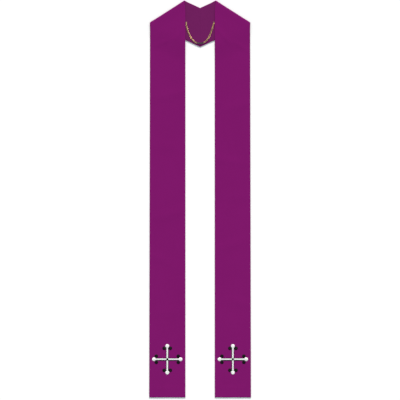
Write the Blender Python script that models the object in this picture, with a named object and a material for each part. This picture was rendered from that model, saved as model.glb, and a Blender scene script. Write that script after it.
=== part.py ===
"""Clerical stole, laid flat with its neck folded over at the shoulders.

Each half is one long strip of lined cloth. The strips are mitred and seamed at the centre back, rise to
the shoulders with their lining up, fold over, and come down as the two fronts with their face up. A strip is
a wall of face cloth whose edges are turned in round a thinner lining. A gilt chain, by which the stole is
hung, lies on the lining at the back of the neck, and an embroidered cross lies on each front above the hem.

Blender units are metres. +Z is up off the surface that the stole lies on, +Y runs from the hems to the neck,
and the origin is in the middle of the footprint. The sizes below are in millimetres.
"""

import math

import bmesh
import bpy
from mathutils import Matrix, Vector

MM = 0.001

# Outline, seen from above.
OVERALL_LENGTH = 1392.0
FRONT_GAP = 103.0
NECK_WIDTH = 123.7
HEM_WIDTH = 127.0
NECK_SLOPE = math.radians(24.9)
NECK_POINT_DROP = 28.8

# The cloth's layers.
STRIP_THICKNESS = 2.6
FACE_THICKNESS = 1.3
SEAM_GAP = 0.3
LAYER_GAP = 0.5
EDGE_TURN = 2.5
HEM_TURN = 4.0

# The shoulder fold. The neck strip lies a little further out along the fold than the front does, and the
# cloth eases from one to the other over the shift run, which ends this far past the fold at the front's inner
# and outer edges.
ROLL_RADIUS = 3.2
ROLL_FADE = 42.0
SHIFT_RUN = 60.0
INNER_SHIFT_END = 41.0
OUTER_SHIFT_END = 18.0

# How a front comes down off the neck strip under it. It lies on the surface from the step run on, and the
# shoulder's close rows end at the settled run, both measured from the neck strip's lower edge.
STEP_RUN = 80.0
SETTLED_RUN = 96.0

# How finely the strips are divided, and up to which edge angle they are shaded smooth.
CELLS_ACROSS = 10
NECK_ROWS = 4
ROLL_ROWS = 8
SHOULDER_ROWS = 17
FRONT_ROWS = 7
CLOTH_SMOOTH_ANGLE = math.radians(40)

# The crosses.
CROSS_SPAN = 106.0
CROSS_ABOVE_HEM = 134.0
CROSS_RAISE = 1.0
CROSS_EDGE_ROUND = 0.3
ARM_HALF_WIDTH = 4.4
TIP_BUD_RADIUS = 6.8
SIDE_BUD_RADIUS = 6.2
ARC_STEP = math.radians(20)
STITCH_SMOOTH_ANGLE = math.radians(50)

# The neck chain and the ring at each end of it.
CHAIN_WIDTH = 5.0
CHAIN_THICKNESS = 3.0
CHAIN_POINT_SPACING = 8.0
CHAIN_BEVEL_RESOLUTION = 2
RING_RADIUS = 2.1
RING_WIRE = 1.1
RING_STEPS = 16
RING_WIRE_SIDES = 6

# The chain's route, seen from above: the distance across from the centre line to the right, and the distance
# below the shoulder points.
CHAIN_ROUTE = (
    # across, below the shoulders
    (-48.7, 80.0),
    (-48.1, 88.0),
    (-45.9, 97.0),
    (-43.4, 105.4),
    (-40.1, 114.0),
    (-35.5, 123.8),
    (-30.3, 132.8),
    (-23.1, 141.4),
    (-14.0, 147.9),
    (-4.5, 150.2),
    (4.6, 149.8),
    (13.3, 147.2),
    (21.2, 141.3),
    (27.8, 133.2),
    (33.0, 124.2),
    (37.5, 113.8),
    (40.8, 104.0),
    (43.6, 94.6),
    (45.9, 86.8),
    (47.9, 80.0),
)

# Points closer than this, in metres, are one point.
MERGE_DISTANCE = 1e-6

# Worked out from the sizes above. A half of the stole is drawn with its distance from the centre line first,
# and second its height above the fold point, where the line of the front's inner edge meets the fold. The
# right half is that, and the left half is mirrored. The shoulder point is the strip's own corner, further out
# along the fold.
INNER_EDGE = FRONT_GAP / 2
FOLD_SLOPE = (math.pi / 2 - NECK_SLOPE) / 2
ALONG_FOLD = Vector((math.cos(FOLD_SLOPE), -math.sin(FOLD_SLOPE)))
OFF_FOLD = Vector((-math.sin(FOLD_SLOPE), -math.cos(FOLD_SLOPE)))
FOLD_POINT = Vector((INNER_EDGE, 0.0))
HALF_ROLL = math.pi / 2 * ROLL_RADIUS
ROLL_TAKE_UP = HALF_ROLL - ROLL_RADIUS
TAKE_UP_ACROSS = ROLL_TAKE_UP * math.sin(FOLD_SLOPE)
TAKE_UP_DOWN = ROLL_TAKE_UP * math.cos(FOLD_SLOPE)
NECK_UP = Vector((-math.sin(NECK_SLOPE), math.cos(NECK_SLOPE)))
PLAIN_NECK_DROP = (INNER_EDGE + 2 * TAKE_UP_ACROSS) * math.tan(NECK_SLOPE) - 2 * TAKE_UP_DOWN
EXTRA_NECK_DROP = NECK_POINT_DROP - PLAIN_NECK_DROP
NECK_SHIFT = EXTRA_NECK_DROP * math.cos(NECK_SLOPE) / math.sin(FOLD_SLOPE + NECK_SLOPE)
NECK_LOWER_POINT = Vector((0.0, -NECK_POINT_DROP - NECK_WIDTH / math.cos(NECK_SLOPE)))
CUT_INNER_EDGE = INNER_EDGE - TAKE_UP_ACROSS


def smooth_step(share):
    """0 to 1 with level ends, as share goes from 0 to 1."""
    held = min(max(share, 0.0), 1.0)
    return held * held * (3 - 2 * held)


def shift_along_fold(from_inner_edge, past_fold):
    """How far the cloth has moved out along the fold, from a front to the neck strip."""
    end = INNER_SHIFT_END + (OUTER_SHIFT_END - INNER_SHIFT_END) * from_inner_edge / NECK_WIDTH
    return NECK_SHIFT * smooth_step((end - past_fold) / SHIFT_RUN)


FOLD_SHIFT = shift_along_fold(0.0, 0.0)
SHOULDER_POINT = (INNER_EDGE - CUT_INNER_EDGE) * math.tan(FOLD_SLOPE) - FOLD_SHIFT * math.sin(FOLD_SLOPE)
HEM = SHOULDER_POINT - OVERALL_LENGTH
CUT_HEM = HEM - TAKE_UP_DOWN
FOOTPRINT_MIDDLE = HEM + OVERALL_LENGTH / 2
FRONT_MIDDLE = INNER_EDGE + HEM_WIDTH / 2


def strip_width(height):
    """Width of the flat cut at a height: even round the neck, a little wider towards the hem."""
    drop = min(max(-height / OVERALL_LENGTH, 0.0), 1.0)
    return NECK_WIDTH + (HEM_WIDTH - NECK_WIDTH) * drop


def front_surface(place, from_fold):
    """Height of a front's upper face over the floor, at a place seen from above."""
    inside_neck_strip = (place - NECK_LOWER_POINT).dot(NECK_UP)
    carried = smooth_step(1 + inside_neck_strip / STEP_RUN)
    resting = STRIP_THICKNESS + carried * (STRIP_THICKNESS + LAYER_GAP)
    rolled = 1 - smooth_step((from_fold - ROLL_RADIUS) / (ROLL_FADE - ROLL_RADIUS))
    return resting + (2 * ROLL_RADIUS - resting) * rolled


def folded(cut_point, depth):
    """Where a point of the flat cut lies on the folded stole, at a depth in from the face side.

    The cut is drawn where the front lies, and runs on past the fold. What is past it turns under.
    """
    from_fold_point = cut_point - FOLD_POINT
    past_fold = from_fold_point.dot(OFF_FOLD)
    shift = shift_along_fold(cut_point.x - CUT_INNER_EDGE, past_fold)
    on_fold = FOLD_POINT + ALONG_FOLD * (from_fold_point.dot(ALONG_FOLD) + shift)
    if abs(past_fold) < HALF_ROLL:
        turn = past_fold / ROLL_RADIUS
        radius = ROLL_RADIUS - depth
        place = on_fold + OFF_FOLD * (ROLL_RADIUS - radius * math.cos(turn))
        return place, ROLL_RADIUS + radius * math.sin(turn)
    from_fold = abs(past_fold) - ROLL_TAKE_UP
    place = on_fold + OFF_FOLD * from_fold
    if past_fold < 0:
        return place, depth
    return place, front_surface(place, from_fold) - depth


def row_at_distance(past_fold):
    """The heights of a row that runs along the fold, at the cut's inner and outer edges."""
    return [
        -(past_fold + (edge - INNER_EDGE) * math.sin(FOLD_SLOPE)) / math.cos(FOLD_SLOPE)
        for edge in (CUT_INNER_EDGE, CUT_INNER_EDGE + NECK_WIDTH)
    ]


def row_past_neck_strip(distance):
    """The heights of a row that runs along the neck strip's lower edge, a distance below it on the floor."""
    return [
        NECK_LOWER_POINT.y
        + edge * math.tan(NECK_SLOPE)
        - distance / math.cos(NECK_SLOPE)
        - TAKE_UP_DOWN
        for edge in (INNER_EDGE, INNER_EDGE + NECK_WIDTH)
    ]


def mitre_row(clearance):
    """The heights of the row that lies on the centre-back seam, at the cut's inner and outer edges."""
    heights = []
    for edge in (CUT_INNER_EDGE, CUT_INNER_EDGE + NECK_WIDTH):
        trial = Vector((edge, OVERALL_LENGTH))
        across = folded(trial, 0.0)[0].x
        heights.append(trial.y + (across - clearance) / math.cos(NECK_SLOPE))
    return heights


def between(first, last, count):
    """Rows from first to last, in count even steps, without first itself."""
    return [
        [a + (b - a) * step / count for a, b in zip(first, last)]
        for step in range(1, count + 1)
    ]


def strip_rows(hem_inset):
    """Every row of a strip from the centre-back seam to the hem, as heights at its inner and outer edges.

    Below the shoulder the rows fan out, from along the fold to along the neck strip that the front comes off.
    """
    rows = [mitre_row(SEAM_GAP / 2)]
    rows += between(rows[-1], row_at_distance(-HALF_ROLL), NECK_ROWS)
    for step in range(1, ROLL_ROWS + 1):
        rows.append(row_at_distance((2 * step / ROLL_ROWS - 1) * HALF_ROLL))
    rows += between(rows[-1], row_past_neck_strip(SETTLED_RUN), SHOULDER_ROWS)
    rows += between(rows[-1], [CUT_HEM + hem_inset] * 2, FRONT_ROWS)
    return rows


def point_of(row, inset, depth):
    """A point of a row, at an inset from the cut's inner edge and a depth in from the face side."""
    share = inset / strip_width(row[1])
    height = row[0] + (row[1] - row[0]) * share
    return folded(Vector((CUT_INNER_EDGE + inset, height)), depth)


def insets(row, margin):
    """Even insets across a row, from a margin in at one edge to the same margin in at the other."""
    width = strip_width(row[1])
    return [
        margin + (width - 2 * margin) * cell / CELLS_ACROSS
        for cell in range(CELLS_ACROSS + 1)
    ]


def face_section(row, hollow):
    """The ring of a face strip at a row: a tray whose turned edges stand up round the lining."""
    width = strip_width(row[1])
    inside = insets(row, EDGE_TURN)
    floor_depth = FACE_THICKNESS if hollow else STRIP_THICKNESS
    ring = [(0.0, 0.0)] + [(inset, 0.0) for inset in inside] + [(width, 0.0)]
    ring += [(width, STRIP_THICKNESS), (inside[-1], STRIP_THICKNESS)]
    ring += [(inset, floor_depth) for inset in reversed(inside)]
    ring += [(inside[0], STRIP_THICKNESS), (0.0, STRIP_THICKNESS)]
    return [point_of(row, inset, depth) for inset, depth in ring]


def lining_section(row):
    """The ring of a lining strip at a row: a flat band that fills the tray to the height of its edges."""
    inside = insets(row, EDGE_TURN + SEAM_GAP)
    ring = [(inset, FACE_THICKNESS + SEAM_GAP) for inset in inside]
    ring += [(inset, STRIP_THICKNESS) for inset in reversed(inside)]
    return [point_of(row, inset, depth) for inset, depth in ring]


def placed(point, side):
    """A half's point in metres, in the whole stole's frame. A side is 1 on the right and -1 on the left."""
    place, height = point
    return Vector((side * place.x, place.y - FOOTPRINT_MIDDLE, height)) * MM


def plain_material(name, colour, roughness, metallic=0.0):
    """A plain Principled material."""
    material = bpy.data.materials.new(name)
    material.use_nodes = True
    shader = material.node_tree.nodes["Principled BSDF"]
    shader.inputs["Base Color"].default_value = (*colour, 1.0)
    shader.inputs["Roughness"].default_value = roughness
    shader.inputs["Metallic"].default_value = metallic
    material.diffuse_color = (*colour, 1.0)
    return material


def add_object(name, bm, material, smooth_angle):
    """Closes a bmesh into a named object, shaded smooth below an edge angle."""
    bmesh.ops.remove_doubles(bm, verts=bm.verts, dist=MERGE_DISTANCE)
    bmesh.ops.recalc_face_normals(bm, faces=bm.faces)
    mesh = bpy.data.meshes.new(name)
    bm.to_mesh(mesh)
    bm.free()
    mesh.shade_smooth()
    mesh.set_sharp_from_angle(angle=smooth_angle)
    mesh.materials.append(material)
    part = bpy.data.objects.new(name, mesh)
    bpy.context.scene.collection.objects.link(part)
    return part


def add_lofted(name, sections, turning, side, material):
    """A closed wall through rings that all have the same number of points.

    A ring runs out across the strip to its point number turning, and then back. Every cell is split from its
    inner corner at one row to its outer corner at the next, so that the layers of the cloth bend alike.
    """
    bm = bmesh.new()
    rings = [[bm.verts.new(placed(point, side)) for point in ring] for ring in sections]
    for ring, after in zip(rings, rings[1:]):
        for here in range(len(ring)):
            there = (here + 1) % len(ring)
            if here < turning:
                bm.faces.new((ring[here], ring[there], after[there]))
                bm.faces.new((ring[here], after[there], after[here]))
            else:
                bm.faces.new((ring[here], ring[there], after[here]))
                bm.faces.new((ring[there], after[there], after[here]))
    bm.faces.new(rings[0])
    bm.faces.new(rings[-1])
    return add_object(name, bm, material, CLOTH_SMOOTH_ANGLE)


def add_face_strip(name, side, material):
    """One half's face cloth: its tray is open at the centre back, and closed by the turned hem."""
    rows = strip_rows(HEM_TURN)
    sections = [face_section(row, hollow=True) for row in rows]
    sections.append(face_section(rows[-1], hollow=False))
    sections.append(face_section([CUT_HEM] * 2, hollow=False))
    return add_lofted(name, sections, CELLS_ACROSS + 2, side, material)


def add_lining_strip(name, side, material):
    """One half's lining, clear of the turned edges all round."""
    sections = [lining_section(row) for row in strip_rows(HEM_TURN + SEAM_GAP)]
    return add_lofted(name, sections, CELLS_ACROSS, side, material)


def arc(centre, radius, start, end):
    """Points along a circle from one angle to another, anticlockwise, with both ends."""
    count = math.ceil((end - start) / ARC_STEP)
    angles = [start + (end - start) * step / count for step in range(count + 1)]
    return [centre + Vector((math.cos(angle), math.sin(angle))) * radius for angle in angles]


def turned(points, angle):
    """Points turned about the middle of the cross."""
    turn = Matrix.Rotation(angle, 2)
    return [turn @ point for point in points]


def cross_outline():
    """The outline of a cross with four equal arms, each with a round bud at its tip."""
    tip = Vector((CROSS_SPAN / 2 - TIP_BUD_RADIUS, 0.0))
    sweep = math.pi - math.asin(ARM_HALF_WIDTH / TIP_BUD_RADIUS)
    arm = arc(tip, TIP_BUD_RADIUS, -sweep, sweep)
    arm.append(Vector((ARM_HALF_WIDTH, ARM_HALF_WIDTH)))
    return [point for quarter in range(4) for point in turned(arm, quarter * math.pi / 2)]


def side_bud_outline(side, quarter):
    """The outline of a round bud that nestles between an arm's side and its tip."""
    tip_along = CROSS_SPAN / 2 - TIP_BUD_RADIUS
    offset = ARM_HALF_WIDTH + SEAM_GAP + SIDE_BUD_RADIUS
    reach = TIP_BUD_RADIUS + SEAM_GAP + SIDE_BUD_RADIUS
    along = tip_along - math.sqrt(reach**2 - offset**2)
    circle = arc(Vector((along, side * offset)), SIDE_BUD_RADIUS, 0.0, math.tau)[:-1]
    return turned(circle, quarter * math.pi / 2)


def add_stitched(name, outline, side, material):
    """One field of satin stitch, a low plate with rounded upper edges, laid just clear of the front."""
    bm = bmesh.new()
    middle = Vector((side * FRONT_MIDDLE, HEM + CROSS_ABOVE_HEM - FOOTPRINT_MIDDLE))
    base = STRIP_THICKNESS + SEAM_GAP
    corners = [bm.verts.new(Vector((*(middle + point), base)) * MM) for point in outline]
    plate = bm.faces.new(corners)
    raised = bmesh.ops.extrude_face_region(bm, geom=[plate])["geom"]
    top = [item for item in raised if isinstance(item, bmesh.types.BMVert)]
    bmesh.ops.translate(bm, verts=top, vec=(0.0, 0.0, CROSS_RAISE * MM))
    rim = [edge for edge in bm.edges if all(vert in top for vert in edge.verts)]
    bmesh.ops.bevel(
        bm,
        geom=rim,
        offset=CROSS_EDGE_ROUND * MM,
        offset_type="OFFSET",
        segments=1,
        profile=0.5,
        affect="EDGES",
        material=-1,
    )
    return add_object(name, bm, material, STITCH_SMOOTH_ANGLE)


def add_cross(label, side, white, black):
    """A white cross with a bud at the tip of each arm, and a black bud on either side of each tip."""
    add_stitched(f"cross_{label}", cross_outline(), side, white)
    for quarter in range(4):
        for bud_side in (-1, 1):
            number = 2 * quarter + (bud_side + 3) // 2
            outline = side_bud_outline(bud_side, quarter)
            add_stitched(f"cross_{label}_bud_{number}", outline, side, black)


def smooth_route(points):
    """Points close together on a Catmull-Rom curve through the route's own points."""
    route = [Vector(point) for point in points]
    padded = [2 * route[0] - route[1], *route, 2 * route[-1] - route[-2]]
    line = [route[0]]
    for before, start, end, after in zip(padded, padded[1:], padded[2:], padded[3:]):
        count = max(1, round((end - start).length / CHAIN_POINT_SPACING))
        for step in range(1, count + 1):
            t = step / count
            line.append(
                0.5
                * (
                    2 * start
                    + (end - before) * t
                    + (2 * before - 5 * start + 4 * end - after) * t**2
                    + (3 * start - before - 3 * end + after) * t**3
                )
            )
    return line


def on_neck(across, below, height):
    """A point in metres, from how far it is across from the centre line and below the shoulder points."""
    return placed((Vector((across, SHOULDER_POINT - below)), height), 1)


def add_chain(name, material):
    """The neck chain as a plain flattened tube of its own width, loose on the lining."""
    curve = bpy.data.curves.new(name, "CURVE")
    curve.dimensions = "3D"
    curve.bevel_depth = CHAIN_WIDTH / 2 * MM
    curve.bevel_resolution = CHAIN_BEVEL_RESOLUTION
    curve.use_fill_caps = True
    line = smooth_route(CHAIN_ROUTE)
    spline = curve.splines.new("POLY")
    spline.points.add(len(line) - 1)
    for point, place in zip(spline.points, line):
        point.co = (*on_neck(place.x, place.y, 0.0), 1.0)
    curve.materials.append(material)
    chain = bpy.data.objects.new(name, curve)
    chain.location.z = (STRIP_THICKNESS + SEAM_GAP + CHAIN_THICKNESS / 2) * MM
    chain.scale.z = CHAIN_THICKNESS / CHAIN_WIDTH
    bpy.context.scene.collection.objects.link(chain)
    return chain


def add_chain_ring(name, end, neighbour, material):
    """A jump ring that lies flat on the lining, just past an end of the chain and clear of the front."""
    reach = RING_RADIUS + RING_WIRE / 2 + SEAM_GAP
    centre = Vector(end) + (Vector(end) - Vector(neighbour)).normalized() * reach
    across = math.copysign(min(abs(centre.x), INNER_EDGE - reach), centre.x)
    bpy.ops.mesh.primitive_torus_add(
        major_segments=RING_STEPS,
        minor_segments=RING_WIRE_SIDES,
        major_radius=RING_RADIUS * MM,
        minor_radius=RING_WIRE / 2 * MM,
    )
    ring = bpy.context.object
    ring.name = name
    ring.data.name = name
    height = STRIP_THICKNESS + SEAM_GAP + RING_WIRE / 2
    ring.location = on_neck(across, centre.y, height)
    ring.data.shade_smooth()
    ring.data.materials.append(material)
    return ring


def main():
    for leftover in list(bpy.data.objects):
        bpy.data.objects.remove(leftover)
    purple_face = plain_material("purple_face_cloth", (0.205, 0.011, 0.145), 0.75)
    plum_lining = plain_material("plum_lining", (0.158, 0.017, 0.110), 0.6)
    white_thread = plain_material("white_thread", (0.87, 0.87, 0.85), 0.5)
    black_thread = plain_material("black_thread", (0.012, 0.011, 0.011), 0.5)
    gilt_metal = plain_material("gilt_metal", (0.60, 0.42, 0.20), 0.35, metallic=1.0)
    for label, side in (("left", -1), ("right", 1)):
        add_face_strip(f"face_{label}", side, purple_face)
        add_lining_strip(f"lining_{label}", side, plum_lining)
        add_cross(label, side, white_thread, black_thread)
    add_chain("neck_chain", gilt_metal)
    add_chain_ring("chain_ring_left", CHAIN_ROUTE[0], CHAIN_ROUTE[1], gilt_metal)
    add_chain_ring("chain_ring_right", CHAIN_ROUTE[-1], CHAIN_ROUTE[-2], gilt_metal)


main()
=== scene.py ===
"""The looks of a clerical stole: lined purple cloth, embroidered crosses and a gilt neck chain, laid flat.

The stole lies in the frame of its solids, in metres: +Z up off the floor, +Y from the hems to the neck. Each
half is one strip of lined cloth. It is modelled flat, as it was cut, and is then folded over at the shoulder.
A half is worked out on the right, and the left one is mirrored.
"""

import math
import random
from bisect import bisect_right

import bmesh
import bpy
from bpy.props import FloatProperty, FloatVectorProperty, PointerProperty
from mathutils import Matrix, Vector, noise


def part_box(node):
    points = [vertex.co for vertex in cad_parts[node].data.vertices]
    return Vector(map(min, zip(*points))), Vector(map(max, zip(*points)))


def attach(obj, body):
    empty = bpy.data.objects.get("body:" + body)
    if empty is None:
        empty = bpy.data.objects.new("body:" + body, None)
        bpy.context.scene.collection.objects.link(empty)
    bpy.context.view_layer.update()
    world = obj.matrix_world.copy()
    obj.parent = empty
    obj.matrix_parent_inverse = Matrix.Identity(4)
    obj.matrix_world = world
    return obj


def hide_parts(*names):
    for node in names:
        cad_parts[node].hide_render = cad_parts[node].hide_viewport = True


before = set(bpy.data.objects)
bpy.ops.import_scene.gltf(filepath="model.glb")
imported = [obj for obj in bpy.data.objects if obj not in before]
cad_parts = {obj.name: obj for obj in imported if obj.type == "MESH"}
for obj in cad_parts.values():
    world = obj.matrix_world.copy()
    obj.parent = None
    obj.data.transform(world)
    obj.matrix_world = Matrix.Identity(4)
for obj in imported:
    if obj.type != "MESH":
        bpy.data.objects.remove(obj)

bl_info = {
    "name": "Clerical Stole",
    "version": (1, 0, 0),
    "blender": (4, 5, 0),
    "location": "View3D > Sidebar > Stole",
    "description": "Makes a lined clerical stole with embroidered crosses and a neck chain",
    "category": "Add Mesh",
}

MM = 0.001
BODY = "root"
SIDES = (("left", -1), ("right", 1))
BUDS = range(1, 9)

# Sizes read from the solids.
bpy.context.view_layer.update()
face_low, face_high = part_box("face_right")
cross_low, cross_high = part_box("cross_right")
bud_low, bud_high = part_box("cross_right_bud_1")
ring_low, ring_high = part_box("chain_ring_right")
FRONT_MIDDLE = (cross_low.x + cross_high.x) / 2
HEM_WIDTH = 2 * (face_high.x - FRONT_MIDDLE)
INNER_EDGE = FRONT_MIDDLE - HEM_WIDTH / 2
HEM = face_low.y
OVERALL_LENGTH = -2 * HEM
ROLL_RADIUS = face_high.z / 2
CROSS_MIDDLE = (cross_low.y + cross_high.y) / 2
CROSS_REACH = (cross_high.x - cross_low.x) / 2
STITCH_BASE, STITCH_TOP = cross_low.z, cross_high.z
SIDE_BUD_RADIUS = (bud_high.x - bud_low.x) / 2

# The cut, the fold and the crosses, as the solids have them.
NECK_WIDTH = 123.7 * MM
NECK_SLOPE = math.radians(24.9)
NECK_POINT_DROP = 28.8 * MM
SHIFT_RUN = 60.0 * MM
INNER_SHIFT_END = 41.0 * MM
OUTER_SHIFT_END = 18.0 * MM
STRIP_THICKNESS = 2.6 * MM
FACE_THICKNESS = 1.3 * MM
LAYER_GAP = 0.5 * MM
EDGE_TURN = 2.5 * MM
HEM_TURN = 4.0 * MM
ROLL_FADE = 42.0 * MM
STEP_RUN = 80.0 * MM
SETTLED_RUN = 96.0 * MM
ARM_HALF_WIDTH = 4.4 * MM
TIP_BUD_RADIUS = 6.8 * MM
BUD_GAP = 0.3 * MM

# How finely the cloth is divided.
CLOTH_CELLS_ACROSS = 34
NECK_ROWS = 28
ROLL_ROWS = 18
SHOULDER_ROWS = 54
FRONT_ROWS = 240

# A face of the flat cloth is part of the wall's side when its normal points this far sideways.
SIDEWAYS = 0.7

# The centre-back seam: rows close together beside it, and the ditch that the stitching pulls the cloth into.
SEAM_CLEARANCES = (0.0, 0.25 * MM, 0.6 * MM, 1.2 * MM, 2.2 * MM, 4.0 * MM)
SEAM_DITCH_DEPTH = 0.45 * MM
SEAM_DITCH_WIDTH = 1.3 * MM

# Under the face, the turned edges end this far in. The cloth over them stands a little higher.
TURNED_WIDTH = 17.0 * MM
TURNED_HEM = 38.0 * MM
TURNED_FADE = 3.0 * MM
TURNED_SINK = 0.22 * MM

# How round the cloths' edges are, how far the lining stays clear of the face, and its fullness and puckers.
FACE_EDGE_ROUND = 1.1 * MM
LINING_EDGE_ROUND = 0.4 * MM
LINING_GAP = 0.15 * MM
LINING_LEVEL_GAP = 0.1 * MM
LINING_FULLNESS = 0.14 * MM
PUCKER_HEIGHT = 0.07 * MM
PUCKER_PITCH = 15.0 * MM
PUCKER_REACH = 9.0 * MM
PUCKER_DRIFT = 1.3

# Soft ridges where the cloth doesn't lie quite flat. Across is from the front's inner edge, and below is from
# the shoulder point. A ridge has faded out at this many times its half length or half width.
CREASE_END = 3
CREASES = {
    "left": (
        # across, below, half length, half width, height, slant in degrees
        (22, 118, 60, 9, 0.50, 58),
        (84, 150, 46, 8, 0.40, 21),
        (48, 330, 70, 16, 0.55, 12),
        (70, 512, 58, 20, 0.45, -9),
        (40, 745, 84, 18, 0.60, 17),
        (92, 905, 52, 15, 0.40, -24),
        (58, 1092, 66, 22, 0.45, 6),
    ),
    "right": (
        (30, 124, 52, 8, 0.45, 52),
        (90, 160, 40, 9, 0.45, 30),
        (76, 372, 62, 18, 0.50, -15),
        (34, 560, 76, 15, 0.60, 10),
        (82, 690, 48, 17, 0.35, -6),
        (50, 862, 80, 20, 0.55, -19),
        (88, 1060, 56, 16, 0.45, 14),
    ),
}

# A wide, gentle swell lifts each front too. Near the fold the cloth is pressed flat: a front starts to lift
# this far past it, and any cloth is loose after a run.
SWELL_HEIGHT = 0.22 * MM
SWELL_SIZE = 90.0 * MM
SWELL_LEVELS = {"left": 0.37, "right": 0.81}
LIFT_START, LIFT_RUN = 20.0 * MM, 40.0 * MM

# The felling stitches that hold the lining's edge to the turned face cloth.
FELLING_SLANT = 0.55 * MM
FELLING_REACH = 0.85 * MM
FELLING_THREAD = 0.16 * MM
FELLING_PROUD = 0.1 * MM
FELLING_DIP = 0.25 * MM
FELLING_STRAY = 0.8 * MM
FELLING_START = 0.6

# Satin stitch. A stitch dives into the cloth at both ends, which stray a little. The rows of a bud crowd
# together towards its rim, where they are flatter.
STITCH_DIVE = 0.6 * MM
STITCH_SHARPNESS = 3.2
STITCH_STRAY = 0.09 * MM
RIM_CROWDING = 1.4
RIM_FLATTENING = 0.62
CENTRE_RAISE = 0.45 * MM
BORDER_FULLNESS = 0.85

# The jump rings, and the fan of stitches that tacks each one down.
RING_WIRE_RADIUS = 0.5 * MM
RING_LIFT = 0.06 * MM
TACKS = 5
TACK_SPREAD = math.radians(21)
TACK_LEAN = math.radians(18)
TACK_ENDS = (-1.1 * MM, 1.15 * MM)
TACK_DIVE = 0.1 * MM
TACK_RISE = 0.62 * MM
TACK_THREAD = 0.2 * MM
TACK_SHARPNESS = 2.4

# The chain's links: how close each lies to the next, the most degrees that it tilts, and how far in from the
# chain's end its last link's middle is, as a share of half a link's inside length.
LINK_CLOSENESS = 0.985
LINK_TILT = 8.0
END_LINK_REACH = 0.3

# How finely the wire of the links and rings is divided, round it and along it.
WIRE_SIDES, LINK_STEPS, RING_STEPS = 8, 20, 24

# The light, where the camera stands, and how far the floor is below the stole.
KEY_SOFTNESS = math.radians(14)
KEY_TURN = math.radians(-4)
KEY_COLOUR = (1.0, 0.93, 0.88)
FILL_COLOUR = (0.86, 0.97, 1.0, 1.0)
CAMERA_SPOT = (-0.3 * MM, -3.6 * MM)
FLOOR_DROP = 0.2 * MM

# Where each kind of random draw starts.
CHAIN_SEED, FELLING_SEED, CROSS_SEED = 7, 11, 23

# The chain's route in millimetres, as its solid has it: across from the centre line, and below the shoulder
# points.
CHAIN_ROUTE = (
    (-48.7, 80.0), (-48.1, 88.0), (-45.9, 97.0), (-43.4, 105.4), (-40.1, 114.0),
    (-35.5, 123.8), (-30.3, 132.8), (-23.1, 141.4), (-14.0, 147.9), (-4.5, 150.2),
    (4.6, 149.8), (13.3, 147.2), (21.2, 141.3), (27.8, 133.2), (33.0, 124.2),
    (37.5, 113.8), (40.8, 104.0), (43.6, 94.6), (45.9, 86.8), (47.9, 80.0),
)
ROUTE_STEP = 0.5 * MM


def smooth_step(share):
    """0 to 1 with level ends, as share goes from 0 to 1."""
    held = min(max(share, 0.0), 1.0)
    return held * held * (3 - 2 * held)


# Worked out from those sizes. The fold point is where the line of a front's inner edge meets the fold, and
# the shoulder point is the strip's own corner, further out along the fold.
FOLD_SLOPE = (math.pi / 2 - NECK_SLOPE) / 2
ALONG_FOLD = Vector((math.cos(FOLD_SLOPE), -math.sin(FOLD_SLOPE)))
OFF_FOLD = Vector((-math.sin(FOLD_SLOPE), -math.cos(FOLD_SLOPE)))
HALF_ROLL = math.pi / 2 * ROLL_RADIUS
ROLL_TAKE_UP = HALF_ROLL - ROLL_RADIUS
TAKE_UP_ACROSS = ROLL_TAKE_UP * math.sin(FOLD_SLOPE)
TAKE_UP_DOWN = ROLL_TAKE_UP * math.cos(FOLD_SLOPE)
CUT_INNER_EDGE = INNER_EDGE - TAKE_UP_ACROSS
CUT_EDGES = (CUT_INNER_EDGE, CUT_INNER_EDGE + NECK_WIDTH)
PLAIN_NECK_DROP = (INNER_EDGE + 2 * TAKE_UP_ACROSS) * math.tan(NECK_SLOPE) - 2 * TAKE_UP_DOWN
EXTRA_NECK_DROP = NECK_POINT_DROP - PLAIN_NECK_DROP
NECK_SHIFT = EXTRA_NECK_DROP * math.cos(NECK_SLOPE) / math.sin(FOLD_SLOPE + NECK_SLOPE)


def shift_along_fold(from_inner_edge, past_fold):
    """How far the cloth has moved out along the fold, from a front to the neck strip."""
    end = INNER_SHIFT_END + (OUTER_SHIFT_END - INNER_SHIFT_END) * from_inner_edge / NECK_WIDTH
    return NECK_SHIFT * smooth_step((end - past_fold) / SHIFT_RUN)


SHOULDER_POINT = HEM + OVERALL_LENGTH
FOLD_HEIGHT = (
    SHOULDER_POINT
    - (INNER_EDGE - CUT_INNER_EDGE) * math.tan(FOLD_SLOPE)
    + shift_along_fold(0.0, 0.0) * math.sin(FOLD_SLOPE)
)
FOLD_POINT = Vector((INNER_EDGE, FOLD_HEIGHT))
NECK_UP = Vector((-math.sin(NECK_SLOPE), math.cos(NECK_SLOPE)))
NECK_LOWER_POINT = Vector((0.0, FOLD_HEIGHT - NECK_POINT_DROP - NECK_WIDTH / math.cos(NECK_SLOPE)))
CUT_HEM = HEM - TAKE_UP_DOWN


# --- The cut and the fold ---


def strip_width(height):
    """Width of the flat cut at a height: even round the neck, a little wider towards the hem."""
    drop = min(max((FOLD_HEIGHT - height) / OVERALL_LENGTH, 0.0), 1.0)
    return NECK_WIDTH + (HEM_WIDTH - NECK_WIDTH) * drop


def front_surface(place, from_fold):
    """Height of a front's upper face over the floor, at a place seen from above."""
    inside_neck_strip = (place - NECK_LOWER_POINT).dot(NECK_UP)
    carried = smooth_step(1 + inside_neck_strip / STEP_RUN)
    resting = STRIP_THICKNESS + carried * (STRIP_THICKNESS + LAYER_GAP)
    rolled = 1 - smooth_step((from_fold - ROLL_RADIUS) / (ROLL_FADE - ROLL_RADIUS))
    return resting + (2 * ROLL_RADIUS - resting) * rolled


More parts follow.
